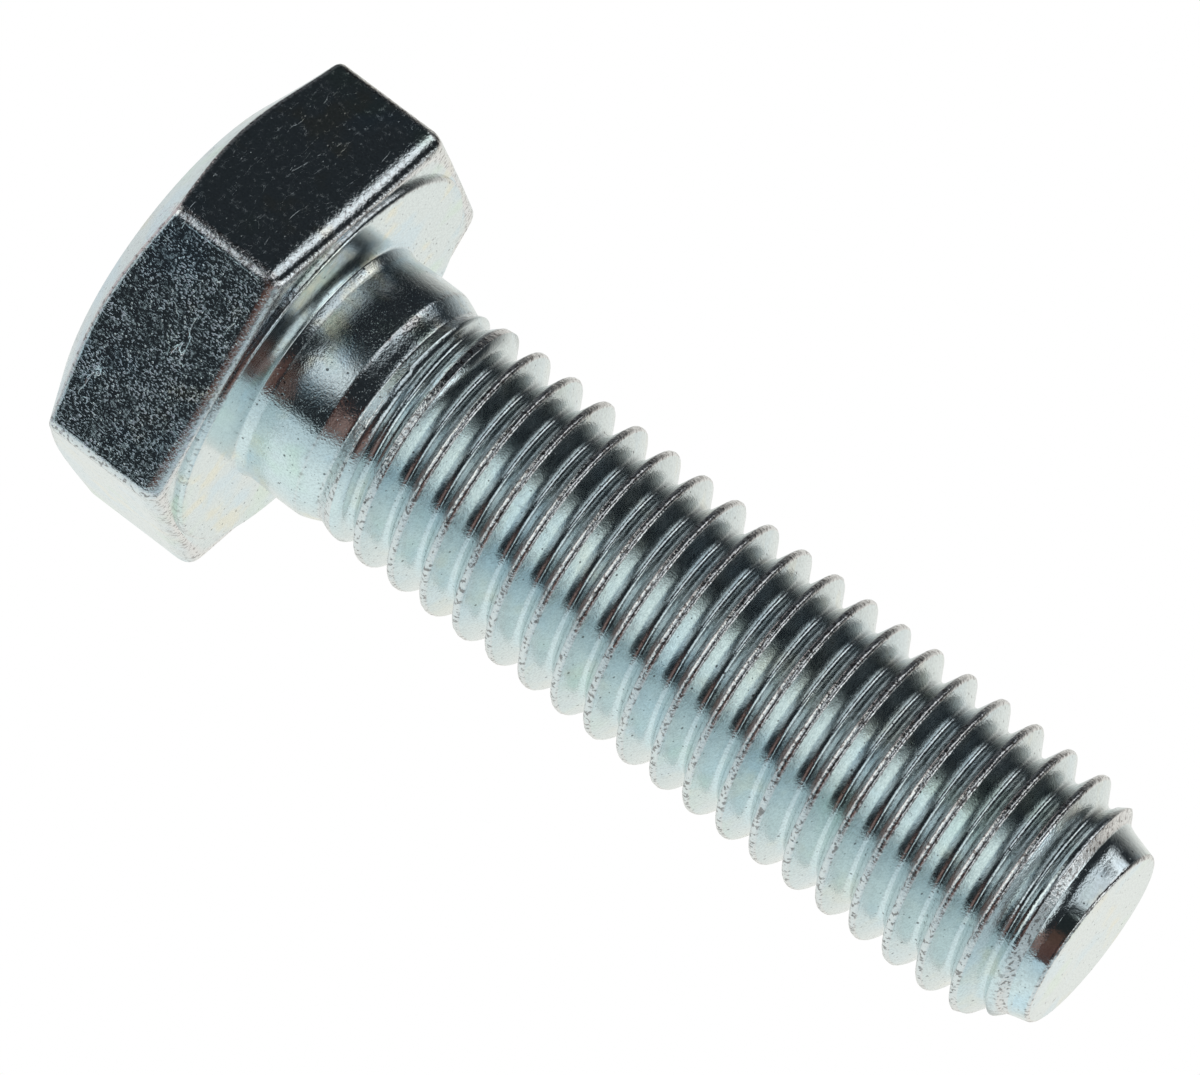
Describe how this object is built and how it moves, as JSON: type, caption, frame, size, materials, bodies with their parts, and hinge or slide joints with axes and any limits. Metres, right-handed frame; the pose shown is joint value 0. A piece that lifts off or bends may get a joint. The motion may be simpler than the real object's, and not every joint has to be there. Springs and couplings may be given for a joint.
{
  "type": "hex bolt",
  "caption": "Hexagon head bolt with a washer face, a short plain neck and a coarse right-hand thread running to a chamfered point; bright zinc-plated steel.",
  "frame": {"origin": "centre of the head's top face, on the bolt's axis; the bolt stands on that face", "axes": "+Z along the bolt's axis, from the head's top face to the point; two of the six wrench flats face +X and -X"},
  "size_m": [0.0168, 0.0192, 0.0414],
  "materials": {
    "zinc_plated_steel": "bright blue-tinted zinc plating with a fine grain"
  },
  "bodies": {
    "root": {"hex_head": "zinc_plated_steel", "washer_face": "zinc_plated_steel", "plain_neck": "zinc_plated_steel", "threaded_shank": "zinc_plated_steel", "chamfered_point": "zinc_plated_steel"}
  },
  "joints": []
}
